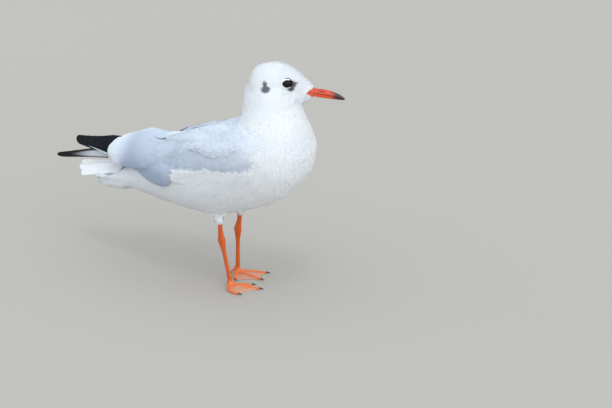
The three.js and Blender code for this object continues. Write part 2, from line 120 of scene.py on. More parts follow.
# %% Modelling helpers
def choose(*objects):
    """Selects these objects alone and makes the first one active."""
    if bpy.context.object and bpy.context.object.mode != "OBJECT":
        bpy.ops.object.mode_set(mode="OBJECT")
    bpy.ops.object.select_all(action="DESELECT")
    for one in objects:
        one.select_set(True)
    bpy.context.view_layer.objects.active = objects[0]
    return objects[0]


def primitive(add, label, **settings):
    """Adds one of the basic shapes with nothing else selected."""
    bpy.ops.object.select_all(action="DESELECT")
    add(**settings)
    piece = bpy.context.object
    piece.name = piece.data.name = label
    return piece


def edit(piece, *steps):
    """Runs edit-mode steps on the whole of a piece."""
    choose(piece)
    bpy.ops.object.mode_set(mode="EDIT")
    bpy.ops.mesh.select_all(action="SELECT")
    for step in steps:
        step()
    bpy.ops.object.mode_set(mode="OBJECT")


def bake(piece, kind, **settings):
    """Adds one modifier and applies it."""
    choose(piece)
    modifier = piece.modifiers.new(kind.title(), kind)
    for name, value in settings.items():
        setattr(modifier, name, value)
    bpy.ops.object.modifier_apply(modifier=modifier.name)


def cad_copy(label, *nodes):
    """One merged copy of some CAD nodes, to be worked on. The nodes themselves are left alone."""
    copies = []
    for name in nodes:
        one = bpy.data.objects.new(label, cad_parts[name].data.copy())
        bpy.context.scene.collection.objects.link(one)
        copies.append(one)
    piece = choose(*copies)
    if len(copies) > 1:
        bpy.ops.object.join()
    piece.data.materials.clear()
    edit(piece, lambda: bpy.ops.mesh.remove_doubles(threshold=1e-6))
    return piece


def read_vertices(piece, values, key):
    flat = np.empty(len(piece.data.vertices) * 3, np.float32)
    values.foreach_get(key, flat)
    return flat.reshape(-1, 3).astype(float)


def corners(piece):
    """The places of a piece's vertices as an array, in metres."""
    return read_vertices(piece, piece.data.vertices, "co")


def set_corners(piece, places):
    piece.data.vertices.foreach_set("co", np.asarray(places, np.float32).ravel())
    piece.data.update()


def corner_normals(piece):
    return read_vertices(piece, piece.data.vertex_normals, "vector")


def remember(piece, **values):
    """Keeps one number per vertex under each name, for the materials to read."""
    for name, value in values.items():
        field = piece.data.attributes.new(name, "FLOAT", "POINT")
        field.data.foreach_set("value", np.asarray(value, np.float32).ravel())


def triangles(piece):
    piece.data.calc_loop_triangles()
    return len(piece.data.loop_triangles)


def settle(piece, finish, slot, *nodes):
    """Gives a finished piece its material and its body, and hides the CAD nodes that it stands for; the slot is not
    used.
    """
    finish.cover(piece)
    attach(piece, "root")
    if nodes:
        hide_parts(*nodes)


print("helpers ready")

# %% [markdown]
# ## The skin
# Under the feathers a bird is one unbroken skin. The flesh nodes of the CAD part are copied, swollen a
# hair so that their parting gaps close, and remeshed into one body. The eyeballs and the roots of the
# bill take part too, so that no socket stays open. Smoothing takes the facets away, and then the skin
# is drawn in by the depth of the coat, which is thin on the face and thick on the belly.

# %% Join the flesh into one body
FLESH = ("head", "neck", "trunk", "wing_right", "wing_left", "thigh_right", "thigh_left")
skin = cad_copy("skin", *FLESH, "tertials_right", "tertials_left", "eye_right", "eye_left")
bill_root = cad_copy("bill_root", "bill_upper", "bill_lower")
edit(bill_root, lambda: bpy.ops.mesh.bisect(
    plane_co=head_place(33, 0, 0), plane_no=Vector(BILLWARD), use_fill=True, clear_outer=True))
choose(skin, bill_root)
bpy.ops.object.join()
bake(skin, "DISPLACE", strength=0.25 * MM, mid_level=0.0)
bake(skin, "REMESH", mode="VOXEL", voxel_size=1.5 * MM)
bake(skin, "SMOOTH", factor=0.5, iterations=8)
print("skin", len(skin.data.vertices), "vertices")

# %% [markdown]
# The scapular feathers of the shoulder lie over the wing like a short cape, and the cape ends in a
# soft step. The step is worked into the skin along two lines, so that the feathers over it cast the
# right shadow.

# %% Coat depth and the folds of the back
CAPE_EDGE = ((-70, 148), (-48, 150), (-30, 151.5), (-13, 152), (0, 151.5), (12, 153), (24, 159), (37, 166),
             (50, 173))
BACK_FOLD = ((-100, 144), (-85, 145), (-66, 149), (-48, 153), (-30, 158), (-10, 164))


def coat_depth(points):
    """How far the skin lies below the tips of the feathers, in millimetres."""
    head = about_head(points)
    depth = 3.0 - 1.0 * smooth(180, 200, points[:, 2])
    depth = depth - 0.7 * smooth(205, 216, points[:, 2])
    depth = depth - 0.4 * smooth(4, 20, head[:, 0]) * smooth(200, 208, points[:, 2])
    depth = depth - 1.8 * smooth(76, 68, points[:, 2])
    depth = depth - 1.2 * smooth(-112, -128, points[:, 0]) * smooth(104, 110, points[:, 2])
    return depth


def fold(points):
    """How far the cape and the back fold lift the skin, in millimetres."""
    x, side, z = points[:, 0], np.abs(points[:, 1]), points[:, 2]
    lift = np.zeros(len(points))
    for line, low, high, height in ((CAPE_EDGE, -32, 44, 1.7), (BACK_FOLD, -96, -20, 1.3)):
        rise = z - line_height(line, x)
        here = smooth(low - 12, low + 14, x) * (1 - smooth(high - 10, high + 4, x))
        here = here * smooth(8, 16, side) * (1 - smooth(60, 70, side))
        ridge = smooth(-0.8, 1.2, rise) * (1 - smooth(1.2, 16, rise))
        groove = smooth(-7, -0.8, rise) * (1 - smooth(-0.8, 0.8, rise))
        lift = lift + here * height * (ridge - 0.6 * groove)
    return lift


spots = about_feet(corners(skin))
inward = (coat_depth(spots) - fold(spots)) * MM
set_corners(skin, corners(skin) - corner_normals(skin) * inward[:, None])
bake(skin, "SMOOTH", factor=0.5, iterations=2)
choose(skin)
bpy.ops.object.shade_smooth()
edit(skin, lambda: bpy.ops.uv.smart_project(angle_limit=math.radians(66), island_margin=0.004))
print("skin lies", round(float(inward.mean() / MM), 2), "mm in on average")

# %% [markdown]
# ## Markings
# A marking is a function of place, so that skin and feathers wear the same one. It could be painted by
# hand, but a few named lines describe this bird fully: pale grey over back and wings, white elsewhere,
# a dark spot behind the ear and a smudge in front of the eye. Painted shade rides on the grey as well:
# it is painted lighter high on the back and darker low on the folded wing, as light from above falls.

# %% Markings
GREY_LOWER = ((-150, 108), (-112, 112), (-103, 113), (-84, 106), (-67, 104), (-57, 105), (-51, 113), (-46, 122),
              (-36, 127), (-22, 130), (-9, 132.5), (11, 138.5), (26, 144), (44, 148.5), (56, 152), (62, 158))
GREY_FRONT = ((100, 58), (147, 58), (151, 63), (157, 66), (161, 63), (165, 53), (168, 53), (174, 62), (180, 64),
              (184, 57), (188, 46), (193, 34), (198, 18), (204, 2))
EAR_SPOT = ((-9.2, 6.6, 2.3, 4.4), (-8.2, 2.2, 4.9, 3.5))
EYE_SMUDGE = ((18.4, 4.6, 3.6, 3.2), (16.6, 1.0, 3.5, 2.6), (22.0, 5.7, 1.9, 0.8))
GAPE_LINE = ((20, -4.0), (29.6, -5.4), (36, -7.6), (44, -9.2))
GAPE_TOP = ((27.5, -5.4), (36.5, -3.4), (40, -1.5), (43, 4))
GAPE_UNDER = ((27.5, -5.4), (33, -9.0), (36, -11.5), (37.5, -16))


def spots_of(head, blobs, soft):
    """A soft mark made of overlapping ovals, each (forward, up, half width, half height)."""
    mark = np.zeros(len(head))
    for forward, up, wide, high in blobs:
        reach = np.hypot((head[:, 0] - forward) / wide, (head[:, 2] - up) / high)
        mark = np.maximum(mark, 1 - smooth(1 - soft, 1 + soft, reach))
    return mark * smooth(5, 9, np.abs(head[:, 1]))


def markings(points):
    """Shares of grey, of painted shade on the grey and of dark feather at each place, for millimetres about the
    feet.
    """
    x, side, z = points[:, 0], np.abs(points[:, 1]), points[:, 2]
    head = about_head(points)
    grey = smooth(-1.2, 1.2, z - line_height(GREY_LOWER, x))
    front = np.interp(z, [k[0] for k in GREY_FRONT], [k[1] for k in GREY_FRONT])
    soft = 5 + 9 * smooth(166, 174, z)
    grey = grey * smooth(-soft, soft, front - x) * smooth(206, 198, z)
    grey = grey * (1 - 0.85 * smooth(-124, -142, x))
    # deep is painted shade on the grey: darker low on the folded wing and towards the tail, lighter high on the
    # back and above the cape's edge, as light from above falls
    above = z - line_height(CAPE_EDGE, x)
    deep = 0.85 - 0.011 * (z - line_height(GREY_LOWER, x)) - 0.28 * smooth(-2, 3, above)
    deep = deep + 0.3 * smooth(124, 108, z) * smooth(-46, -66, x) + 0.12 * smooth(-50, -70, x)
    deep = deep - 0.12 * smooth(-45, -20, x) - 0.3 * smooth(0, 50, x)
    deep = deep * (1 - 0.75 * smooth(10, 46, x) * smooth(0, 8, above)) * (1 - 0.8 * smooth(-112, -140, x))
    deep = np.clip(deep, 0, 1)
    ear = spots_of(head, EAR_SPOT, 0.3)
    smudge = spots_of(head, EYE_SMUDGE, 0.35)
    dark = np.maximum(0.9 * ear, 0.95 * smudge) * smooth(196, 204, z)
    return grey, deep, dark


def gape(head):
    """The wedge of bare skin behind the bill, for millimetres about the head."""
    top = line_height(GAPE_TOP, head[:, 0]) - head[:, 2]
    under = head[:, 2] - line_height(GAPE_UNDER, head[:, 0])
    return smooth(27.5, 28.5, head[:, 0]) * smooth(-0.3, 0.3, top) * smooth(-0.3, 0.3, under)


grey, deep, dark = markings(about_feet(corners(skin)))
head = about_head(about_feet(corners(skin)))
# Painted shade: a dark line along the slit between the mandibles, on the bare gape skin, added to dark
mouth_shade = 1 - smooth(0.3, 0.8, np.abs(head[:, 2] - line_height(GAPE_LINE, head[:, 0])))
mouth_shade = mouth_shade * smooth(20, 23, head[:, 0]) * smooth(45, 43, head[:, 0]) * (head[:, 1] ** 2 > 1)
remember(skin, grey=grey, deep=deep, dark=np.maximum(dark, 0.6 * mouth_shade), horn=gape(head))
print("grey share", round(float(grey.mean()), 2), "dark share", round(float(dark.mean()), 4))

# %% [markdown]
# ## Finishes
# A finish is a small network of shader nodes. Written out node by node it would be long, so a socket is
# wrapped in a class that knows sums, and every other node comes from one method.

# %% Shader helpers
class Wire:
    """One output socket that can be used in sums."""

    def __init__(self, finish, socket):
        self.finish, self.socket = finish, socket

    def maths(self, operation, *others):
        return self.finish.maths(operation, self, *others)

    def __add__(self, other):
        return self.maths("ADD", other)

    def __sub__(self, other):
        return self.maths("SUBTRACT", other)

    def __rsub__(self, other):
        return self.finish.maths("SUBTRACT", other, self)

    def __mul__(self, other):
        return self.maths("MULTIPLY", other)

    def step(self, low, high):
        """0 below low, 1 above high, eased between."""
        return self.finish.node("ShaderNodeMapRange", {"interpolation_type": "SMOOTHSTEP"},
                                {0: self, 1: low, 2: high})


class Finish:
    """A material with one main shader."""

    def __init__(self, name, **constants):
        self.material = bpy.data.materials.new(name)
        self.material.use_nodes = True
        self.tree = self.material.node_tree
        self.shader = self.tree.nodes["Principled BSDF"]
        for socket, value in constants.items():
            self.shader.inputs[socket.replace("_", " ")].default_value = value

    def node(self, kind, settings=None, inputs=None, output=0):
        made = self.tree.nodes.new(kind)
        for name, value in (settings or {}).items():
            setattr(made, name, value)
        for socket, value in (inputs or {}).items():
            if isinstance(value, Wire):
                self.tree.links.new(value.socket, made.inputs[socket])
            else:
                made.inputs[socket].default_value = value
        return Wire(self, made.outputs[output])

    def maths(self, operation, *values):
        return self.node("ShaderNodeMath", {"operation": operation}, dict(enumerate(values)))

    def field(self, name):
        return self.node("ShaderNodeAttribute", {"attribute_name": name}, output="Fac")

    def noise(self, scale, detail=2.0):
        where = self.node("ShaderNodeTexCoord", output="Object")
        return self.node("ShaderNodeTexNoise", None, {"Vector": where, "Scale": scale, "Detail": detail})

    def mix(self, share, first, second):
        return self.node("ShaderNodeMix", {"data_type": "RGBA"}, {0: share, 6: first, 7: second}, output=2)

    def wear(self, **sockets):
        """Links values to the main shader's own sockets."""
        for name, value in sockets.items():
            self.tree.links.new(value.socket, self.shader.inputs[name.replace("_", " ")])

    def bump(self, height, strength, distance):
        self.wear(Normal=self.node("ShaderNodeBump", None,
                                   {"Height": height, "Strength": strength, "Distance": distance}))

    def cover(self, *pieces):
        for piece in pieces:
            piece.data.materials.clear()
            piece.data.materials.append(self.material)


def paint(red, green, blue):
    """A colour as a painter reads it, 0 to 255, turned into light values."""
    def light(value):
        value = value / 255
        return value / 12.92 if value <= 0.04045 else ((value + 0.055) / 1.055) ** 2.4
    return (light(red), light(green), light(blue), 1.0)


print("mid grey", paint(128, 128, 128))

# %% Feather finishes
WHITE = paint(240, 244, 250)
WARM_WHITE = paint(238, 241, 245)
# Two copies of one pale grey, as painted light high on the back and painted shade low on the wing
LIT_GREY = paint(229, 239, 252)
SHADED_GREY = paint(152, 165, 190)
DARK = paint(62, 64, 74)


def plumage(name):
    """White and grey body feathers, each one a touch lighter or darker than the next."""
    finish = Finish(name, Roughness=0.75, Sheen_Weight=0.25, Sheen_Roughness=0.6)
    each = finish.field("rand")
    cloud = finish.noise(28.0)
    white = finish.mix(each * 0.6 + cloud * 0.4, WHITE, WARM_WHITE)
    # Painted light and shade on the grey: deep picks between the lit and the shaded copy
    grey = finish.mix(finish.field("deep") * 0.8 + each * 0.12 + cloud * 0.1 - 0.02, LIT_GREY, SHADED_GREY)
    coat = finish.mix(finish.field("grey"), white, grey)
    coat = finish.mix(finish.field("horn"), coat, paint(222, 82, 30))
    # dark holds the ear spot and the eye smudge, and on the skin also the painted shade line at the gape
    coat = finish.mix(finish.field("dark"), coat, DARK)
    finish.wear(Base_Color=coat)
    finish.bump(finish.noise(900.0, 3.0), 0.25, 0.0006)
    return finish


plumage_finish = plumage("plumage")
remember(skin, rand=np.full(len(skin.data.vertices), 0.5))
settle(skin, plumage_finish, "plumage_white", *FLESH)
print("plumage finish ready")

# %% [markdown]
# ## The lie of the feathers
# Body feathers all point away from the bill: back over the crown, down the neck and breast, and on
# towards the tail. The direction is a blend of a few plain arrows, laid flat on the skin at each root.

# %% Lie of the feathers
def flat_on(normals, arrows):
    """Arrows pressed flat against the skin, all one long."""
    arrows = arrows - normals * (arrows * normals).sum(1)[:, None]
    return arrows / np.maximum(np.linalg.norm(arrows, axis=1), 1e-9)[:, None]


def lie(points, normals):
    """Where the feathers point, for millimetres about the feet."""
    x, z = points[:, 0], points[:, 2]
    head = about_head(points)
    on_head = smooth(196, 212, z)
    on_neck = smooth(168, 188, z) * smooth(-4, 26, x + 0.5 * (z - 185)) * (1 - on_head)
    on_leg = smooth(78, 70, z)
    body = np.stack([-np.ones_like(x), np.zeros_like(x), -0.10 - 1.6 * smooth(5, 50, x)], 1)
    down = np.tile([-0.3, 0.0, -1.0], (len(x), 1))
    chin = smooth(-6, -16, head[:, 2]) * smooth(-4, 8, head[:, 0])
    fall = -0.30 - 1.2 * smooth(0, -20, head[:, 0]) - 0.5 * chin
    back = -BILLWARD + fall[:, None] * UP
    arrows = body * (1 - on_neck - on_head)[:, None] + down * on_neck[:, None] + back * on_head[:, None]
    arrows = arrows * (1 - on_leg)[:, None] + np.array([0.05, 0.0, -1.0]) * on_leg[:, None]
    return flat_on(normals, arrows)


EVENINGS = 120
skin.data.calc_loop_triangles()
TRI = np.array([t.vertices for t in skin.data.loop_triangles])
TRI_LOOPS = np.array([t.loops for t in skin.data.loop_triangles])
SKIN_AT = about_feet(corners(skin))
SKIN_OUT = corner_normals(skin)
edges = np.array([e.vertices for e in skin.data.edges])
broad = 0.85 * smooth(206, 190, SKIN_AT[:, 2]) * smooth(74, 84, SKIN_AT[:, 2]) * smooth(-150, -120, SKIN_AT[:, 0])
broad = broad * (1 - smooth(0.1, 0.6, np.abs(fold(SKIN_AT))))
joins = np.bincount(edges.ravel(), minlength=len(SKIN_AT))[:, None]
for _ in range(EVENINGS):  # evens out the facets of the CAD body in the shading, but not on head and tail
    drift = [np.bincount(edges.ravel(), SKIN_OUT[edges[:, ::-1].ravel(), k], len(SKIN_AT)) for k in range(3)]
    SKIN_OUT = SKIN_OUT + (np.stack(drift, 1) / joins - SKIN_OUT) * broad[:, None]
SKIN_OUT = SKIN_OUT / np.linalg.norm(SKIN_OUT, axis=1)[:, None]
SKIN_UV = np.empty(len(skin.data.loops) * 2, np.float32)
skin.data.uv_layers.active.data.foreach_get("uv", SKIN_UV)
SKIN_UV = SKIN_UV.reshape(-1, 2)
skin_tree = BVHTree.FromPolygons(SKIN_AT.tolist(), TRI.tolist())
print("skin triangles", len(TRI))

# %% [markdown]
# ## Scattering the roots
# Feather roots stand evenly apart, never in rows and never in clumps. Darts are thrown at the skin, and
# each one is kept only if it lands clear of those before it.

# %% Scatter roots
DARTS = 3.0  # thrown for every square of skin as wide as the spacing


def clear_darts(darts, spacing):
    """The darts that land at least a spacing from every dart kept before them."""
    cells, kept = {}, []
    limit = spacing * spacing
    around = [(a, b, c) for a in (-1, 0, 1) for b in (-1, 0, 1) for c in (-1, 0, 1)]
    homes = np.floor(darts / spacing).astype(int).tolist()
    for number, ((hx, hy, hz), (x, y, z)) in enumerate(zip(homes, darts.tolist())):
        for a, b, c in around:
            near = cells.get((hx + a, hy + b, hz + c))
            if near and any((x - p) ** 2 + (y - q) ** 2 + (z - r) ** 2 < limit for p, q, r in near):
                break
        else:
            cells.setdefault((hx, hy, hz), []).append((x, y, z))
            kept.append(number)
    return np.array(kept, int)


def scatter(zone, spacing, seed):
    """Roots over the part of the skin where zone(points) is true: places, outward normals and UVs."""
    chance = np.random.default_rng(seed)
    middle = SKIN_AT[TRI].mean(1)
    chosen = np.flatnonzero(zone(middle))
    a, b, c = (SKIN_AT[TRI[chosen, k]] for k in range(3))
    area = np.linalg.norm(np.cross(b - a, c - a), axis=1) / 2
    throws = int(area.sum() / spacing ** 2 * DARTS)
    hit = chosen[chance.choice(len(chosen), throws, p=area / area.sum())]
    share = chance.random((throws, 2))
    over = share.sum(1) > 1
    share[over] = 1 - share[over]
    weight = np.column_stack([1 - share.sum(1), share])[:, :, None]
    darts = (SKIN_AT[TRI[hit]] * weight).sum(1)
    kept = clear_darts(darts, spacing)
    out = (SKIN_OUT[TRI[hit[kept]]] * weight[kept]).sum(1)
    out = out / np.linalg.norm(out, axis=1)[:, None]
    return darts[kept], out, (SKIN_UV[TRI_LOOPS[hit[kept]]] * weight[kept]).sum(1)


def track(points, normals, heading, length, steps):
    """Walks over the skin from each root, and gives the places and normals at every step."""
    places, outs = [points], [normals]
    for _ in range(steps):
        ahead = places[-1] + heading * (length / steps)[:, None]
        found = [skin_tree.find_nearest(Vector(p)) for p in ahead]
        here = np.array([f[0] for f in found])
        out = SKIN_OUT[TRI[[f[2] for f in found]]].mean(1)
        out = out / np.linalg.norm(out, axis=1)[:, None]
        heading = flat_on(out, heading)
        places.append(here)
        outs.append(out)
    return np.stack(places, 1), np.stack(outs, 1)


print("scatter ready")

# %% [markdown]
# ## One small feather
# A body feather is a soft blade of narrow barb locks. The locks start together at the root, spread to the
# feather's width, and end in points of uneven length. One pattern is worked out once and laid along
# the walk of every root with arrays, which is quick enough for many thousands of feathers. The shading
# normals lean on the skin's own, so that the coat reads as one soft surface.

# %% Feather coat
LOCK_SHARE = 0.62  # how much of its even share of the width one lock takes, so that the locks overlap
LEAN_SHARE = 0.3  # how far a feather's shading leans to each side
UV_PATCH = 0.0015


def feather_coat(name, zone, spacing, length, width, lift, locks, rings, seed,
                 ragged=0.22, sway=7.0, climb=0.0, bloom=0.4, stream=None):
    """Covers a zone of the skin with small feathers, all in one mesh.

    Lengths are in millimetres. Ragged makes the locks uneven, sway turns feathers at random, climb
    raises their heading, bloom says how soon they rise, and those with a stream stand off the skin.
    """
    chance = np.random.default_rng(seed)
    root, out, uv = scatter(zone, spacing, seed)
    count = len(root)
    heading = flat_on(out, lie(root, out) + climb * UP)
    turn = np.radians(chance.normal(0, sway, count))[:, None]
    heading = heading * np.cos(turn) + np.cross(out, heading) * np.sin(turn)
    size = chance.uniform(0.85, 1.15, count)
    steps = 3
    if stream is None:
        path, outs = track(root, out, heading, length * size, steps)
    else:
        size = size * np.clip((root[:, 0] + 179) / 40, 0.25, 1)
        heading = heading * 0.25 + np.array(stream) + out * 0.1
        heading = heading / np.linalg.norm(heading, axis=1)[:, None]
        walked = (length * size)[:, None, None] * np.linspace(0, 1, steps + 1)[None, :, None]
        path = root[:, None] + heading[:, None] * walked
        outs = np.repeat(flat_on(heading, out)[:, None], steps + 1, 1)

    lane = np.linspace(-1, 1, locks)
    reach = 1 - ragged * lane ** 2 - ragged * 0.6 * chance.random((count, locks))
    along = np.linspace(0, 1, rings) ** 0.85
    share = along[None, None, :] * reach[:, :, None]                    # feather, lock, ring
    slot = np.minimum((share * steps).astype(int), steps - 1)
    part = (share * steps - slot)[..., None]
    row = np.arange(count)[:, None, None]
    middle = path[row, slot] * (1 - part) + path[row, slot + 1] * part
    up = outs[row, slot] * (1 - part) + outs[row, slot + 1] * part
    ahead = path[row, slot + 1] - path[row, slot]
    ahead = ahead / np.maximum(np.linalg.norm(ahead, axis=-1, keepdims=True), 1e-9)
    side = np.cross(up, ahead)
    spread = 0.35 + 0.65 * np.sin(np.minimum(share * 1.5, 1) * np.pi / 2)
    half = width * LOCK_SHARE / locks * np.where(along > 0.999, 0.0, 0.6 + 0.4 * np.sin(np.pi * along))
    offset = lane[None, :, None] * width / 2 * spread * size[:, None, None]
    rise = lift(root)[:, None, None] * np.clip(share * 1.15, 0, 1) ** bloom
    rise = rise - 0.25 - 0.35 * lane[None, :, None] ** 2 * width / 6 + chance.uniform(-0.1, 0.1, (count, locks, 1))
    lean = chance.normal(0, 0.07, (count, locks, 1))

    spots, leans, lats = [], [], []
    for sign in (-1, 1):
        lateral = offset + sign * half[None, None, :]
        spots.append(middle + side * lateral[..., None] + up * rise[..., None])
        leans.append(up + side * (LEAN_SHARE * lateral / width + lean)[..., None] - ahead * 0.03)
        lats.append(np.clip(lateral / (width * LOCK_SHARE), -1, 1))
    last = rings - 1

    def lay(pair):
        """Two vertices on every ring but the last, which is one point."""
        left, right = pair
        both = np.stack([left[:, :, :last], right[:, :, :last]], 3)
        both = both.reshape(count, locks, last * 2, *left.shape[3:])
        return np.concatenate([both, left[:, :, last:]], 2)

    spot, normal, lat = lay(spots), lay(leans), lay(lats)
    tall = lay([share, share])
    per_lock = last * 2 + 1
    faces4 = np.array([[2 * k + 1, 2 * k, 2 * k + 2, 2 * k + 3] for k in range(last - 1)])
    faces3 = np.array([[last * 2 - 1, last * 2 - 2, last * 2]])
    starts = (np.arange(count * locks) * per_lock)[:, None, None]
    quads = (starts + faces4[None]).reshape(-1) if len(faces4) else np.zeros(0, int)
    tris = (starts + faces3[None]).reshape(-1)

    mesh = bpy.data.meshes.new(name)
    mesh.vertices.add(spot.size // 3)
    mesh.vertices.foreach_set("co", ((spot.reshape(-1, 3) + STANCE) * MM).astype(np.float32).ravel())
    loops = np.concatenate([quads, tris])
    sizes = np.concatenate([np.full(len(quads) // 4, 4), np.full(len(tris) // 3, 3)])
    mesh.loops.add(len(loops))
    mesh.loops.foreach_set("vertex_index", loops.astype(np.int32))
    mesh.polygons.add(len(sizes))
    mesh.polygons.foreach_set("loop_start", np.concatenate([[0], np.cumsum(sizes)[:-1]]).astype(np.int32))
    mesh.polygons.foreach_set("loop_total", sizes.astype(np.int32))
    mesh.update()
    patch = uv[:, None, None] + UV_PATCH * np.stack([lat, 2 * tall - 1], -1)
    mesh.uv_layers.new(name="OFBake").data.foreach_set("uv", patch.reshape(-1, 2)[loops].astype(np.float32).ravel())
    mesh.shade_smooth()
    mesh.normals_split_custom_set_from_vertices(
        (normal / np.linalg.norm(normal, axis=-1, keepdims=True)).reshape(-1, 3))
    piece = bpy.data.objects.new(name, mesh)
    bpy.context.scene.collection.objects.link(piece)
    grey, deep, dark = markings(root)
    grey = np.clip(grey + chance.normal(0, 0.02, count) * (grey > 0.05), 0, 1)
    every = locks * per_lock
    # deep carries the painted shade of each root's place into the coat
    remember(piece, grey=np.repeat(grey, every), deep=np.repeat(deep, every), dark=np.repeat(dark, every),
             rand=np.repeat(chance.random(count), every))
    settle(piece, plumage_finish, "plumage_white")
    print(name, count, "feathers", triangles(piece), "triangles")


# %% [markdown]
# ## Zones of the coat
# Feathers are tiny on the face, short on the crown, longer down the neck and longest on flank and vent.
# Each zone is its own piece, so that no mesh grows too large.

# %% Zones
def over_eye(points):
    """True over and close round the eye's opening."""
    near = np.zeros(len(points), bool)
    for sign in SIDES.values():
        middle, out, forward, up = eye_frame(sign)
        offset = points - middle
        ahead, above = offset @ forward - EYE_SHIFT - 0.9, offset @ up - 0.2
        reach = np.where(above > 0, 4.3, 4.8)
        near |= (np.hypot(ahead / 6.0, above / reach) < 1) & (offset @ out > 1)
    return near


def bare(points):
    """True where no feather grows: the eyes, the gape, and the bill's root."""
    head = about_head(points)
    return over_eye(points) | (((head[:, 0] > 42) | (gape(head) > 0.2)) & (points[:, 2] > 196))


def scattered(points):
    """A steady random number for each place, to fray the border between two zones."""
    return np.modf(np.abs(np.sin(points @ np.array([12.99, 78.23, 37.72]))) * 43758.5)[0]


def head_floor(p):
    """How far a place lies above the line where the head's short feathers begin."""
    return p[:, 2] - 203 - 0.25 * (about_head(p)[:, 0] - 5)


def is_face(p):
    return (head_floor(p) > 0) & (about_head(p)[:, 0] > 0) & ~bare(p)


def is_crown(p):
    return (head_floor(p) > 0) & (about_head(p)[:, 0] < 3 + 5 * scattered(p)) & ~bare(p)


def is_neck(p):
    fringe = 156 + 26 * scattered(p)
    return (p[:, 2] > fringe) & (head_floor(p) < 4 + 5 * scattered(p)) & ~bare(p) & (markings(p)[0] < 0.5)


def is_leg(p):
    return (p[:, 2] < 73) & (p[:, 0] > -22) & (p[:, 0] < 12)


def is_mantle(p):
    return markings(p)[0] >= 0.5


def is_grey_coat(p):
    """The grey feathers, but for a bare strip that the fluffy flank covers."""
    clear = p[:, 2] - line_height(GREY_LOWER, p[:, 0])
    return is_mantle(p) & ((clear > 3) | (p[:, 0] < -50)) & (p[:, 0] > -84 - 18 * scattered(p))


def is_rear(p):
    return (p[:, 0] < -58 - 14 * scattered(p)) & ~is_mantle(p)


def is_breast(p):
    fringe = 186 - 26 * scattered(p)
    return (p[:, 2] < fringe) & (p[:, 0] > -72 + 10 * scattered(p)) & ~is_leg(p) & ~is_mantle(p)


def is_flank(p):
    """The fluffy flank just under the folded wing."""
    below = line_height(GREY_LOWER, p[:, 0]) - p[:, 2]
    return (below > 2) & (below < 12) & (p[:, 0] > -36) & (p[:, 0] < 58) & (np.abs(p[:, 1]) > 30)


def is_vent(p):
    """The long feathers under the tail."""
    under = p[:, 2] < 89 + 0.3 * (p[:, 0] + 128)
    end = (p[:, 0] < -150) & (p[:, 2] < 96)
    return (p[:, 0] < -118 - 14 * scattered(p)) & (under | end)


def full_lift(root):
    """The tips stand as high as the coat is deep."""
    return coat_depth(root) * 0.92


def fluffy_lift(root):
    return coat_depth(root) * 0.92 + 1.0 + 2.6 * smooth(-14, -28, root[:, 0])


def vent_lift(root):
    return coat_depth(root) + 2.0


feather_coat("coat_face", is_face, 0.66, 2.6, 1.35, full_lift, 3, 3, seed=1, sway=9)
feather_coat("coat_crown", is_crown, 0.88, 4.2, 1.9, full_lift, 4, 4, seed=2)
feather_coat("coat_neck", is_neck, 1.2, 8.0, 3.2, full_lift, 5, 4, seed=3)
feather_coat("coat_breast", is_breast, 1.5, 10, 3.9, full_lift, 6, 4, seed=4)
feather_coat("coat_rear", is_rear, 1.5, 14, 3.8, full_lift, 6, 4, seed=5)
feather_coat("coat_mantle", is_grey_coat, 2.1, 12, 6.4, full_lift, 7, 5, seed=6, ragged=0.12, sway=4)
feather_coat("coat_flank", is_flank, 1.8, 12, 4.2, fluffy_lift, 7, 5, seed=8, ragged=0.35, sway=9, climb=0.1,
             bloom=0.5)
feather_coat("coat_vent", is_vent, 2.2, 26, 7.0, vent_lift, 7, 6, seed=9, ragged=0.3, sway=4, bloom=1.0,
             stream=(-1.0, 0.0, -0.05))
feather_coat("coat_legs", is_leg, 0.85, 4.0, 1.4, full_lift, 4, 3, seed=7)

# %% [markdown]
# ## The large feathers
# A flight feather is a flat vane on a stiff shaft. The blank is modelled once, flat and straight: a grid
# for the vane, extruded to its thickness, and a slim tapered rod for the shaft. Its X runs from root to
# tip, its Y across, and its Z is height in millimetres. Every feather is a copy of the blank, bent onto
# its own place in wing or tail.

# %% Feather blank
BLANK_DEPTH = 0.4
blank = primitive(bpy.ops.mesh.primitive_grid_add, "feather_blank", x_subdivisions=22, y_subdivisions=10, size=2)
edit(blank, lambda: bpy.ops.mesh.extrude_region_move(TRANSFORM_OT_translate={"value": (0, 0, -BLANK_DEPTH)}))
flat_blank = corners(blank)
flat_blank[:, 0] = 1 - 2 * ((1 - flat_blank[:, 0]) / 2) ** 1.6  # rows crowd towards the tip, which is rounded
set_corners(blank, flat_blank)
shaft = primitive(bpy.ops.mesh.primitive_cylinder_add, "shaft", vertices=6, radius=1.0, depth=2.0,
                  rotation=(0, math.pi / 2, 0))
bpy.ops.object.transform_apply(location=True, rotation=True, scale=True)
cuts = [lambda at=at: (bpy.ops.mesh.select_all(action="SELECT"), bpy.ops.mesh.bisect(
    plane_co=(at, 0, 0), plane_no=(1, 0, 0))) for at in np.linspace(-0.9, 0.9, 13)]
edit(shaft, *cuts)
edit(blank, lambda: bpy.ops.mesh.normals_make_consistent(inside=False))
vane_corners = len(blank.data.vertices)
choose(blank, shaft)
bpy.ops.object.join()
BLANK = corners(blank)
IS_SHAFT = np.arange(len(BLANK)) >= vane_corners
ALONG = (BLANK[:, 0] + 1) / 2
print("blank", len(BLANK), "vertices,", triangles(blank), "triangles")


def vane_outline(along, blunt, narrow):
    """Half width of a vane along its length, as a share of the widest place."""
    root = narrow + (1 - narrow) * smooth(0.0, 0.45, along)
    tip = np.clip((1 - along) / blunt, 0, 1)
    return root * np.sqrt(1 - (1 - tip) ** 2 + 1e-9)


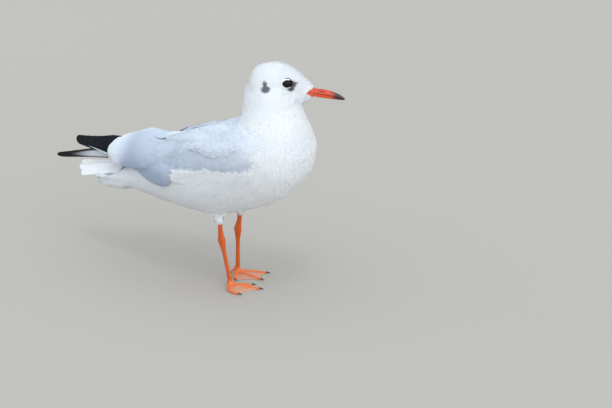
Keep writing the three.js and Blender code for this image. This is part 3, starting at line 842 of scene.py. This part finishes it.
def lay_feather(bend, half_width, blunt=0.22, narrow=0.5, offset=0.0, thick=0.35, camber=0.5, shaft_radius=0.45):
    """One copy of the blank. bend(along, sideways mm, height mm) gives its places about the feet."""
    piece = bpy.data.objects.new("feather", blank.data.copy())
    bpy.context.scene.collection.objects.link(piece)
    wide = half_width * vane_outline(ALONG, blunt, narrow)
    sideways = BLANK[:, 1] * wide
    height = BLANK[:, 2] / BLANK_DEPTH * thick + camber * (1 - BLANK[:, 1] ** 2) * (wide / half_width)
    thin = shaft_radius * (1 - 0.75 * ALONG)
    sideways = np.where(IS_SHAFT, BLANK[:, 1] * thin, sideways)
    height = np.where(IS_SHAFT, camber + BLANK[:, 2] * thin * 0.6 - 0.1, height)
    along = np.where(IS_SHAFT, ALONG * 0.96, ALONG)
    set_corners(piece, (bend(along, sideways, height + offset) + STANCE) * MM)
    share = np.where(IS_SHAFT, 0.0, BLANK[:, 1])
    remember(piece, along=ALONG, lane=share)
    return piece


def tint(piece, pale_end):
    """Gives a wing feather the painted shade of its place, darker along the vane's edges, and bleaches its end."""
    deep = markings(about_feet(corners(piece)))[1]
    # Painted shade: darker along the vane's edges, where the next feather overlaps
    deep = deep + 0.22 * smooth(0.8, 1.0, np.abs(BLANK[:, 1])) * ~IS_SHAFT
    remember(piece, deep=deep, white=smooth(1 - pale_end, 1.0, ALONG) * 0.75 if pale_end else np.zeros(len(deep)))
    return piece


def gather(name, feathers, finish, slot, *nodes):
    """Joins laid feathers into one named piece that stands for some CAD nodes."""
    piece = choose(*feathers)
    bpy.ops.object.join()
    piece.name = piece.data.name = name
    bpy.ops.object.shade_smooth_by_angle(angle=math.radians(50))
    settle(piece, finish, slot, *nodes)
    print(name, len(feathers), "feathers", triangles(piece), "triangles")
    return piece


# %% [markdown]
# A vane's barbs run slantwise from the shaft to the edge. They are too fine to model, so the finish draws
# them as fine slanting ridges.

# %% Vane finish
BARBS = 420.0  # how finely the barbs' ridges repeat along a feather


def vane_finish(name, light, deep, edge=None):
    """The field deep paints shade by picking between the lit and the shaded colour, and white bleaches the vane to
    the edge colour.
    """
    finish = Finish(name, Roughness=0.7, Sheen_Weight=0.15)
    lane, along = finish.field("lane"), finish.field("along")
    slant = along + lane.maths("ABSOLUTE") * -0.12
    barbs = (slant * BARBS).maths("SINE")
    cloud = finish.noise(45.0)
    base = finish.mix(finish.field("deep") + cloud * 0.2 + barbs * 0.03 - 0.1, light, deep)
    if edge:
        base = finish.mix(finish.field("white"), base, edge)
    finish.wear(Base_Color=base)
    finish.bump(barbs, 0.15, 0.0003)
    return finish


# %% [markdown]
# ## Tail
# Twelve white feathers close into a narrow arched fan, the middle pair on top and longest.

# %% Tail feathers
TAIL_ROOT, TAIL_TIP = -118.0, -198.0


def tail_bend(share, tip_x):
    """share is -1 at the left edge of the fan and 1 at the right edge."""
    def bend(along, sideways, height):
        x = TAIL_ROOT + (tip_x - TAIL_ROOT) * along
        run = (x - TAIL_ROOT) / (TAIL_TIP - TAIL_ROOT)
        y = -share * (4.5 + 7.5 * run) - sideways
        wide = 15 + 3.5 * run
        z = 104.2 + (92.6 - 104.2) * run - (7.0 + 4.0 * run) * (y / wide) ** 2
        return np.column_stack([x, y, z + height])
    return bend


# The second colour is the tail's white in painted shade
white_vane = vane_finish("white_vanes", paint(250, 252, 255), paint(222, 228, 238))
fan = []
for number in range(12):
    share = (number - 5.5) / 5.5
    tip = TAIL_TIP + 8.0 * share ** 2 + (1.5, 3.5, 0.0)[number % 3]
    one = lay_feather(tail_bend(share, tip), 7.4 - 1.2 * abs(share), blunt=0.05, narrow=0.6,
                      offset=0.9 - 2.4 * abs(share) + (0.15 if share > 0 else 0), shaft_radius=0.5)
    # Painted shade: grey lines along each vane's edges, where the fan's feathers overlap
    remember(one, deep=smooth(0.75, 1.0, np.abs(BLANK[:, 1])) * ~IS_SHAFT * 0.8)
    fan.append(one)
gather("tail_feathers", fan, white_vane, "plumage_white", "tail")

# %% [markdown]
# ## Wing tips
# The outermost flight feathers are long, narrow and black at the tips. Folded, they lie in a stack on
# edge: the longest at the bottom, each inner one shorter and a little higher. The two wing tips cross
# over the tail, the right one on top.

# %% Wing tip feathers
TIP_PATHS = {
    "right": ((-221, 17, 108.4, 5.0), (-210, 14.5, 109.3, 5.6), (-193, 9.5, 111.4, 7.0), (-174, 3.5, 114.6, 8.2),
              (-155, -2, 120.0, 9.0), (-135, -8, 125, 8.4), (-108, -14, 127, 8)),
    "left": ((-219, -17, 101.2, 2.6), (-208, -15.5, 102.8, 3.0), (-192, -13, 106, 3.6), (-175, -9.5, 109, 4.3),
             (-155, -2, 109.8, 4.8), (-135, 6, 113, 6.4), (-108, 14, 120, 8)),
}
EDGE_PATH = ((-180, -15, 117.4, 0.7), (-172, -12, 115.8, 1.9), (-161, -8, 113, 3.9), (-145, -8.5, 114, 5.5),
             (-108, -16, 124, 7))


TIP_ROOT = -112


def tip_bend(path, outward, rank, end):
    """Follows the folded wing tip. Rank 0 is the longest feather, and each next one is shorter and higher."""
    knots = np.array(path, float)[::-1]

    def bend(along, sideways, height):
        x = TIP_ROOT + (end - TIP_ROOT) * along
        y, z, half = (np.interp(-x, -knots[:, 0], knots[:, k]) for k in (1, 2, 3))
        z = z + (0.08 * rank - 0.14) * half + sideways * half
        return np.column_stack([x, y + outward * (height + rank * 0.42 - 0.8), z])
    return bend


BLACK, NAVY = paint(8, 12, 22), paint(18, 22, 36)
TIP_BROWN, UNDER_GREY, WHITE_EDGE = paint(36, 26, 28), paint(196, 202, 212), paint(232, 240, 248)
black_vane = Finish("black_vanes", Roughness=0.6, Specular_IOR_Level=0.2)
barbs = (black_vane.field("along") * BARBS).maths("SINE")
dark_part = black_vane.mix(black_vane.noise(60.0), BLACK, NAVY)
dark_part = black_vane.mix(black_vane.field("brown"), dark_part, TIP_BROWN)
tip_coat = black_vane.mix(black_vane.field("pale"), dark_part, UNDER_GREY)
black_vane.wear(Base_Color=black_vane.mix(black_vane.field("white"), tip_coat, WHITE_EDGE))
black_vane.bump(barbs, 0.25, 0.0003)
for side, sign in SIDES.items():
    path = TIP_PATHS[side]
    ends = [path[0][0] + step for step in (0, 5, 14, 26, 38)]
    stack = [lay_feather(tip_bend(path, -sign, rank, end), 1.0, blunt=0.06, narrow=0.8, thick=0.3, camber=0.25,
                         shaft_radius=0.35) for rank, end in enumerate(ends)]
    if side == "right":
        stack.append(lay_feather(tip_bend(EDGE_PATH, -sign, 0, -180), 1.0, blunt=0.1, narrow=0.8, thick=0.3,
                                 camber=0.25, shaft_radius=0.3))
    for rank, one in enumerate(stack):
        lane = np.where(IS_SHAFT, 0.0, BLANK[:, 1])
        inner_face = (BLANK[:, 2] < -0.2) & ~IS_SHAFT
        wedge = smooth(0.86, 0.60, ALONG) * smooth(0.95, 0.55, np.abs(lane) + 0.5 * smooth(0.6, 0.9, ALONG))
        remember(one, brown=np.full(len(BLANK), float(side == "left")), pale=wedge * inner_face,
                 white=smooth(-0.92, -0.8, lane) * smooth(-0.3, -0.45, lane) * (rank == 5))
    gather(f"wing_tip_{side}", stack, black_vane, "plumage_black", f"primaries_{side}")

# %% [markdown]
# ## Tertials and secondaries
# The broad inner feathers of the folded wing lie like roof tiles over its tip. They are laid on the same
# arcs as the CAD wing: a place is given by how far back it is, its angle round the flank and its height.

# %% Arcs of the folded wing
WING_ARCS = ((-116, 108, 29, 30), (-100, 108, 34, 35), (-82, 109, 40, 38), (-60, 113, 45, 45), (-42, 116, 48.5, 49),
             (-20, 121, 51.5, 52.5), (8, 130, 54, 54), (35, 143, 55.5, 55), (62, 157, 51, 44))
TERTIAL_ARCS = ((-158, 112.5, 17, 12), (-154, 112, 19, 14), (-146, 110, 23, 22), (-128, 109, 29, 30),
                (-106, 109, 36.5, 38.5), (-84, 110, 42, 36.5), (-62, 114, 46.5, 43), (-45, 116, 48, 47))
LEFT_DROP = 2.8  # the left tertials lie a little lower than the right ones
ROOT_SINK = 4.5


def on_arc(arcs, side, x, angle, height):
    """A place on the flank, for a distance back, an angle up from level in degrees, and a height."""
    knots = np.array(arcs, float)
    z, a, b = (np.interp(x, knots[:, 0], knots[:, k]) for k in (1, 2, 3))
    turn = np.radians(angle)
    drop = LEFT_DROP if side == "left" and arcs is TERTIAL_ARCS else 0.0
    return np.column_stack([x, -SIDES[side] * (a + height) * np.cos(turn), z + (b + height) * np.sin(turn) - drop])


def arc_bend(arcs, side, root, tip):
    """Runs from root to tip, each given as (x, angle). The root sinks in under the small feathers."""
    knots = np.array(arcs, float)

    def bend(along, sideways, height):
        x = root[0] + (tip[0] - root[0]) * along
        reach = (np.interp(x, knots[:, 0], knots[:, 2]) + np.interp(x, knots[:, 0], knots[:, 3])) / 2
        angle = root[1] + (tip[1] - root[1]) * along
        height = height - ROOT_SINK * smooth(0.55, 0.15, along)
        slope = math.radians(tip[1] - root[1]) * reach / (tip[0] - root[0])
        lean = np.hypot(1, slope)
        return on_arc(arcs, side, x - sideways * slope / lean, angle + np.degrees(sideways / reach / lean), height)
    return bend


# The wing's grey in painted light and painted shade, picked by the field deep
grey_vane = vane_finish("grey_vanes", LIT_GREY, SHADED_GREY, edge=paint(230, 238, 247))
# Each row: x and angle of the root, x and angle of the tip, half width, height of the layer
TERTIALS = ((-46, 34, -146, 14, 9.5, -1.4), (-46, 44, -152, 30, 10.5, -1.0), (-46, 54, -153, 46, 10.5, -0.6),
            (-48, 63, -150, 60, 10.0, -0.2), (-50, 72, -140, 74, 9.0, 0.2), (-46, 78, -118, 82, 8.0, 0.5))
SECONDARY_TIPS = ((-113, 14), (-107.5, 9), (-101, 4.5), (-94.5, 0.5), (-88, -3), (-81.5, -6), (-75, -8.5),
                  (-69, -10), (-63.5, -10.5))
SECONDARIES = [(x + 56 - 3 * number, angle + 28 + 1.4 * number, x, angle, 6.5, -1.6 + 0.12 * number)
               for number, (x, angle) in enumerate(SECONDARY_TIPS)]


def lay_row(rows, arcs, side, camber, pale_end):
    """One overlapping row of broad feathers."""
    return [tint(lay_feather(arc_bend(arcs, side, row[:2], row[2:4]), row[4], blunt=0.3, offset=row[5],
                             camber=camber), pale_end) for row in rows]


for side in SIDES:
    fan = lay_row(TERTIALS, TERTIAL_ARCS, side, 0.8, 0.22)
    gather(f"tertial_feathers_{side}", fan, grey_vane, "plumage_grey", f"tertials_{side}")
    fan = lay_row(SECONDARIES, WING_ARCS, side, 0.6, 0.0)
    gather(f"secondaries_{side}", fan, grey_vane, "plumage_grey")
bpy.data.objects.remove(blank)

# %% [markdown]
# ## Eyes
# A gull's eye is a dark brown ball, a little bulged where the clear cornea sits, and framed by thin dark
# lids with a broken ring of white feathers. The ball starts as a sphere and the lids as a torus that is
# drawn out along the almond opening.

# %% Eyes
LID_TUBE = 0.25  # the torus's thickness as a share of its radius
LID_HALF_LONG, LID_HALF_HIGH = 4.75, 3.75


def on_eye(sign, ahead, above, height):
    """Places over the eyeball, from millimetres ahead of and above its outermost point."""
    middle, out, forward, up = eye_frame(sign)
    radius = EYE_RADIUS + height
    deep = np.sqrt(np.maximum(radius ** 2 - ahead ** 2 - above ** 2, 0.04))
    return middle + np.outer(ahead, forward) + np.outer(above, up) + np.outer(deep, out)


eye_finish = Finish("eye", Roughness=0.12, Specular_IOR_Level=0.22)
iris = eye_finish.field("iris") * (eye_finish.noise(2200.0) * 0.5 + 0.6)
eye_finish.wear(Base_Color=eye_finish.mix(iris, paint(3, 3, 5), paint(26, 17, 14)))
lid_finish = Finish("eyelid", Roughness=0.7)
lid_white = lid_finish.mix(lid_finish.noise(1500.0), WHITE, WARM_WHITE)
lid_finish.wear(Base_Color=lid_finish.mix(lid_finish.field("rim"), lid_white, paint(26, 20, 22)))
lid_finish.bump(lid_finish.noise(2600.0), 0.4, 0.0004)
for side, sign in SIDES.items():
    ball = primitive(bpy.ops.mesh.primitive_uv_sphere_add, f"eyeball_{side}", segments=40, ring_count=24, radius=1)
    unit = corners(ball)
    middle, out, forward, up = eye_frame(sign)
    facing = unit[:, 2]
    bulge = EYE_RADIUS + 0.35 * smooth(0.72, 0.95, facing) - 0.1
    set_corners(ball, (middle + (unit[:, :1] * forward + unit[:, 1:2] * up + unit[:, 2:] * out) * bulge[:, None]
                       + STANCE) * MM)
    edit(ball, lambda: bpy.ops.mesh.normals_make_consistent(inside=False))
    bpy.ops.object.shade_smooth()
    remember(ball, iris=smooth(0.93, 0.90, facing))
    settle(ball, eye_finish, "eye", f"eye_{side}")

    lids = primitive(bpy.ops.mesh.primitive_torus_add, f"eyelids_{side}", major_segments=64, minor_segments=12,
                     major_radius=1, minor_radius=LID_TUBE)
    unit = corners(lids)
    round_way = np.arctan2(unit[:, 1], unit[:, 0])
    inner = (np.hypot(unit[:, 0], unit[:, 1]) - 1) / LID_TUBE
    outer = np.maximum(inner, 0)
    reach = 1.09 + (0.09 + 0.03 * np.sin(5 * round_way + 1)) * inner + 0.3 * outer
    corner_pull = smooth(0.55, 1.0, np.cos(round_way))
    ahead = reach * (LID_HALF_LONG + 0.7 * corner_pull) * np.cos(round_way) + EYE_SHIFT
    above = reach * LID_HALF_HIGH * np.sin(round_way) - 0.7 * corner_pull + 0.2
    height = 0.3 + unit[:, 2] / LID_TUBE * 0.45 - 0.9 * outer
    set_corners(lids, (on_eye(sign, ahead, above, height) + STANCE) * MM)
    edit(lids, lambda: bpy.ops.mesh.normals_make_consistent(inside=False))
    bpy.ops.object.shade_smooth()
    front = smooth(0.35, 0.7, np.cos(round_way + 0.1))
    remember(lids, rim=np.clip(smooth(-0.1, -0.6, inner) + front, 0, 1))
    settle(lids, lid_finish, "plumage_white")
    print("eye", side, triangles(ball), "and lids", triangles(lids), "triangles")

# %% [markdown]
# ## Bill
# The two mandibles are smoothed copies of the CAD ones: their triangles become quads again, and a
# subdivision rounds them. The nostril is pressed in as a slit on each side. The horn is orange-red,
# turning dark towards the tip, and its base carries a narrow orange gape. Painted shade darkens the slit
# between the mandibles and the pressed nostril.

# %% Bill
def rounded(label, *nodes, swell):
    """A smooth copy of some faceted CAD nodes, swollen by what the rounding takes off."""
    piece = cad_copy(label, *nodes)
    piece.data.name = label
    steep = math.radians(60)
    edit(piece, lambda: bpy.ops.mesh.tris_convert_to_quads(face_threshold=steep, shape_threshold=steep))
    bake(piece, "DISPLACE", strength=swell * MM, mid_level=0.0)
    bake(piece, "SUBSURF", levels=2, render_levels=2)
    choose(piece)
    bpy.ops.object.shade_smooth()
    return piece


bill_finish = Finish("bill_horn", Roughness=0.32, Coat_Weight=0.25, Coat_Roughness=0.2)
tipward, upper = bill_finish.field("tipward"), bill_finish.field("upper")
streak = bill_finish.noise(420.0, 3.0)
horn = bill_finish.mix(upper, paint(226, 84, 16), paint(206, 62, 44))
# Painted shade: darker red along the slit between the mandibles and in the nostril
horn = bill_finish.mix(bill_finish.field("seam") * 0.7, horn, paint(120, 28, 10))
horn = bill_finish.mix((tipward + streak * 5.0).step(57.0, 66.0), horn, paint(52, 24, 30))
bill_finish.wear(Base_Color=horn)
bill_finish.bump(streak, 0.25, 0.0004)

BILL_LINE = ((27, -6.8), (36, -8), (43, -9), (51.5, -10.6), (58, -12), (64, -13.6), (68.5, -15.2), (71.5, -16.6))
for part in ("upper", "lower"):
    horn_piece = rounded(f"bill_horn_{part}", f"bill_{part}", swell=0.12)
    head = about_head(about_feet(corners(horn_piece)))
    above_line = head[:, 2] - line_height(BILL_LINE, head[:, 0])
    slit = np.hypot((head[:, 0] - 46.5) / 4.2, (above_line - 2.6) / 0.75)
    press = (1 - smooth(0.5, 1.2, slit)) * (part == "upper")
    head[:, 1] = head[:, 1] - np.sign(head[:, 1]) * press * 0.9
    spots = HEAD + head[:, :1] * BILLWARD + head[:, 1:2] * CHEEKWARD + head[:, 2:] * UP
    set_corners(horn_piece, (spots + STANCE) * MM)
    # Painted shade along the slit between the mandibles and in the pressed nostril
    seam = np.maximum(1 - smooth(0.2, 0.9, np.abs(above_line)), press)
    remember(horn_piece, tipward=head[:, 0], seam=seam,
             upper=np.full(len(head), 1.0) * (part == "upper") * smooth(0.5, 2.5, above_line))
    settle(horn_piece, bill_finish, "bill_horn", f"bill_{part}")
    print(horn_piece.name, triangles(horn_piece), "triangles")

# %% [markdown]
# ## Legs and feet
# The bare leg is scaly skin drawn tight over bone. Shin and foot are copied and remeshed into one form,
# so that no gap shows at the heel of the toes. The scales are too shallow to model: the finish rings
# each toe and shin with small plates, and turns the webs thin and pale.

# %% Legs
# Where each foot's toes meet, and each toe's yaw in degrees, bow and length
FEET = {
    "right": ((8, -17.9), ((-35, -6, 31), (16, 0, 33), (38, 0, 23.5))),
    "left": ((-8.3, 17.9), ((30, 1.5, 31), (-6, 0, 33), (-60, -2, 23.5))),
}
TOE_PLATE, SHIN_PLATE = 1.15, 1.25  # height of one ring of scales


def toe_line(foot, toe, count=24):
    """Points along the middle of a toe, seen from above."""
    yaw, bow, length = toe
    along = np.linspace(0, 1, count)
    chord = length * (1 - 2.9 * (bow / length) ** 2)
    flat = np.column_stack([chord * along, 4 * bow * along * (1 - along)])
    turn = math.radians(yaw)
    spin = np.array([[math.cos(turn), math.sin(turn)], [-math.sin(turn), math.cos(turn)]])
    return flat @ spin + np.array(foot), along * length


leg_finish = Finish("leg_skin", Roughness=0.42, Coat_Weight=0.12, Coat_Roughness=0.3)
run, web = leg_finish.field("run"), leg_finish.field("web")
plates = run.maths("PINGPONG", 1.0)
grain = leg_finish.noise(700.0, 3.0)
leather = leg_finish.mix(grain, paint(224, 98, 0), paint(198, 76, 0))
toe_skin = leg_finish.mix(grain, paint(240, 132, 58), paint(226, 104, 36))
leather = leg_finish.mix(leg_finish.field("toe"), leather, toe_skin)
leather = leg_finish.mix(plates.step(0.35, 0.0) * 0.16, leather, paint(140, 44, 14))
leather = leg_finish.mix(web, leather, leg_finish.mix(grain, paint(222, 166, 140), paint(204, 142, 112)))
leg_finish.wear(Base_Color=leather)
leg_finish.bump(plates.step(0.0, 0.4) * (1 - web) + grain * 0.4, 0.5, 0.0003)
claw_finish = Finish("claw", Roughness=0.3, Coat_Weight=0.3, Coat_Roughness=0.1)
claw_finish.wear(Base_Color=claw_finish.mix(claw_finish.noise(900.0), paint(20, 18, 20), paint(44, 36, 34)))
claw_finish.bump(claw_finish.noise(1600.0), 0.2, 0.0002)
for side, (foot, toes) in FEET.items():
    leg = cad_copy(f"leg_{side}", f"tarsus_{side}", f"foot_{side}")
    leg.data.name = leg.name
    bake(leg, "DISPLACE", strength=0.18 * MM, mid_level=0.0)
    bake(leg, "REMESH", mode="VOXEL", voxel_size=0.42 * MM)
    bake(leg, "SMOOTH", factor=0.5, iterations=6)
    spots = about_feet(corners(leg))
    spots[:, 2] = np.maximum(spots[:, 2], 0.0)
    set_corners(leg, (spots + STANCE) * MM)
    near = np.full(len(spots), 1e9)
    along = np.zeros(len(spots))
    for toe in toes:
        line, length = toe_line(foot, toe)
        gaps = np.linalg.norm(spots[:, None, :2] - line[None], axis=2)
        nearest = gaps.argmin(1)
        closer = gaps.min(1) < near
        near = np.where(closer, gaps.min(1), near)
        along = np.where(closer, length[nearest], along)
    on_toe = smooth(8.0, 5.0, spots[:, 2])
    web_share = smooth(1.5, 2.2, near) * on_toe * smooth(4.0, 6.0, along)
    scales = np.where(on_toe > 0.5, along / TOE_PLATE, spots[:, 2] / SHIN_PLATE)
    remember(leg, run=scales, web=web_share, toe=on_toe)
    choose(leg)
    bpy.ops.object.shade_smooth()
    settle(leg, leg_finish, "leg_skin", f"tarsus_{side}", f"foot_{side}")
    claw_nodes = [f"claw_{side}_{toe}" for toe in ("outer", "middle", "inner", "hind")]
    claws = rounded(f"claws_{side}", *claw_nodes, swell=0.15)
    tips = corners(claws)
    tips[:, 2] = np.maximum(tips[:, 2], 0.0)
    set_corners(claws, tips)
    settle(claws, claw_finish, "claw", *claw_nodes)
    print("leg", side, triangles(leg), "claws", triangles(claws), "triangles")

# %% [markdown]
# ## Floor, light and camera
# A still model is shown on a plain pale floor under soft light. One wide lamp above and one in front
# give the bright back and breast and the quiet shade under the belly. A small one draws a soft shadow
# on the floor, and the pale surroundings fill the rest.

# %% Floor
floor = primitive(bpy.ops.mesh.primitive_grid_add, "floor", x_subdivisions=4, y_subdivisions=4, size=24.0,
                  location=(0, 4.0, 0))
bpy.ops.object.transform_apply(location=True, rotation=True, scale=True)
floor_finish = Finish("floor", Roughness=0.85)
speckle = floor_finish.noise(420.0, 2.0)
broad = floor_finish.noise(1.3)
tone = floor_finish.mix(speckle * 0.5 + broad * 0.5, paint(177, 172, 166), paint(185, 180, 174))
floor_finish.wear(Base_Color=tone)
floor_finish.cover(floor)
print("floor", tuple(floor.dimensions))

# %% Light
world = bpy.data.worlds.new("surroundings")
bpy.context.scene.world = world
world.use_nodes = True
air = world.node_tree.nodes["Background"]
air.inputs["Color"].default_value = (0.88, 0.95, 1.0, 1.0)
air.inputs["Strength"].default_value = 0.95


def lamp(name, direction, power, tint, spread):
    """A distant soft light that shines the same on everything."""
    light = bpy.data.lights.new(name, "SUN")
    light.energy, light.color, light.angle = power, tint, math.radians(spread)
    carrier = bpy.data.objects.new(name, light)
    bpy.context.scene.collection.objects.link(carrier)
    carrier.rotation_euler = Vector(direction).to_track_quat("Z", "Y").to_euler()
    return carrier


lamp("sky", (-0.1, -0.2, 1.0), 0.42, (1.0, 0.985, 0.96), 100)
lamp("front", (1.0, -0.4, 0.25), 1.2, (1.0, 0.985, 0.965), 60)
lamp("window", (0.25, -0.30, 0.92), 0.25, (1.0, 1.0, 1.0), 12)

# %% Camera
AZIMUTH, ELEVATION = math.radians(35), math.radians(20)
DISTANCE, AIM_ACROSS, AIM_UPWARD = 4.6, 75.4 * MM, 79.3 * MM
level = math.cos(ELEVATION)
to_camera = Vector((math.sin(AZIMUTH) * level, -math.cos(AZIMUTH) * level, math.sin(ELEVATION)))
across = Vector((math.cos(AZIMUTH), math.sin(AZIMUTH), 0))
upward = to_camera.cross(across)
aim = place(0, 0, 0) + across * AIM_ACROSS + upward * AIM_UPWARD
camera = bpy.data.objects.new("camera", bpy.data.cameras.new("camera"))
bpy.context.scene.collection.objects.link(camera)
camera.location = aim + to_camera * DISTANCE
camera.rotation_euler = to_camera.to_track_quat("Z", "Y").to_euler()
camera.data.sensor_width = 36.0
camera.data.lens = 257.7
camera.data.clip_end = 60.0
bpy.context.scene.camera = camera
bpy.context.scene.view_settings.view_transform = "Standard"
print("camera", tuple(round(v, 3) for v in camera.location))
